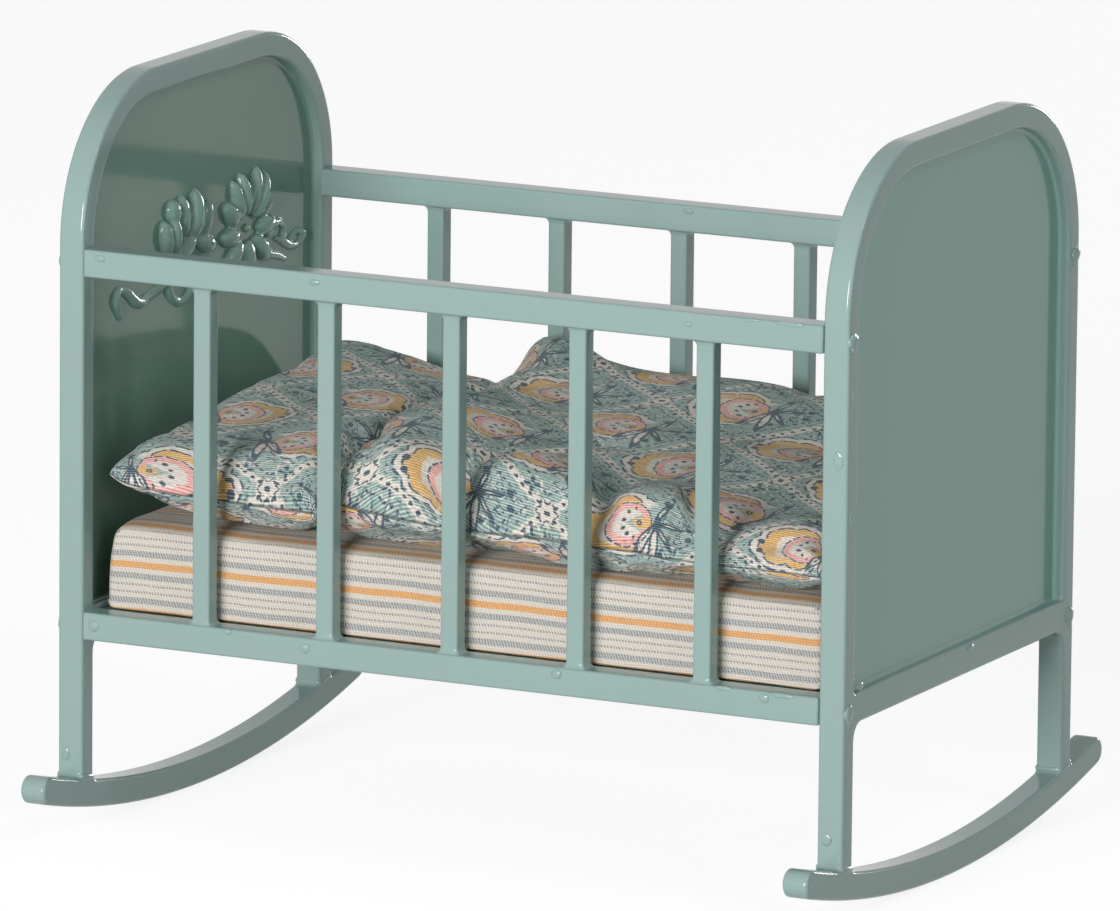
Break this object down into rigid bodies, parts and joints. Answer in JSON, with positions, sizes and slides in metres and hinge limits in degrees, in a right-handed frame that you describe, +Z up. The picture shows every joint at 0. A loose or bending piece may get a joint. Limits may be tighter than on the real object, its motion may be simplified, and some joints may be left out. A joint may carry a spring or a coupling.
{
  "type": "doll cradle",
  "caption": "Metal doll cradle on rockers with arched panel ends, railed sides, a floor pan and lift-out mattress, pillow and duvet.",
  "frame": {"origin": "on the ground under the middle of the cradle", "axes": "+X from the head end to the foot end, +Y across the bed to the back side, +Z up"},
  "size_m": [0.1368, 0.1084, 0.1174],
  "materials": {
    "frame_enamel": "gloss sage green enamel",
    "rail_enamel": "gloss sage green enamel",
    "rivet_enamel": "gloss sage green enamel over a peened head",
    "panel_enamel": "gloss sage green enamel on sheet metal",
    "mattress_ticking": "woven cream ticking with grey and orange stripes",
    "bedding_print": "ribbed cotton with a small block print"
  },
  "bodies": {
    "frame": {"head_hoop": "frame_enamel", "head_crossbar": "frame_enamel", "head_rocker": "frame_enamel", "head_panel": "panel_enamel", "foot_hoop": "frame_enamel", "foot_crossbar": "frame_enamel", "foot_rocker": "frame_enamel", "foot_panel": "panel_enamel", "front_top_rail": "rail_enamel", "front_bottom_rail": "rail_enamel", "back_top_rail": "rail_enamel", "back_bottom_rail": "rail_enamel", "front_baluster_1": "rail_enamel", "front_baluster_2": "rail_enamel", "front_baluster_3": "rail_enamel", "front_baluster_4": "rail_enamel", "front_baluster_5": "rail_enamel", "back_baluster_1": "rail_enamel", "back_baluster_2": "rail_enamel", "back_baluster_3": "rail_enamel", "back_baluster_4": "rail_enamel", "back_baluster_5": "rail_enamel", "head_front_bottom_rivet": "rivet_enamel", "head_front_top_rivet": "rivet_enamel", "head_back_bottom_rivet": "rivet_enamel", "head_back_top_rivet": "rivet_enamel", "foot_front_bottom_rivet": "rivet_enamel", "foot_front_top_rivet": "rivet_enamel", "foot_back_bottom_rivet": "rivet_enamel", "foot_back_top_rivet": "rivet_enamel", "floor_pan": "panel_enamel"},
    "mattress": {"mattress": "mattress_ticking"},
    "pillow": {"pillow": "bedding_print"},
    "duvet": {"duvet": "bedding_print"}
  },
  "joints": [
    {"name": "mattress_lift", "type": "slide", "parent": "frame", "child": "mattress", "axis": [0, 0, 1], "range_m": [0, 0.085]},
    {"name": "pillow_lift", "type": "slide", "parent": "mattress", "child": "pillow", "axis": [0, 0, 1], "range_m": [0, 0.07]},
    {"name": "duvet_lift", "type": "slide", "parent": "mattress", "child": "duvet", "axis": [0, 0, 1], "range_m": [0, 0.07]}
  ]
}
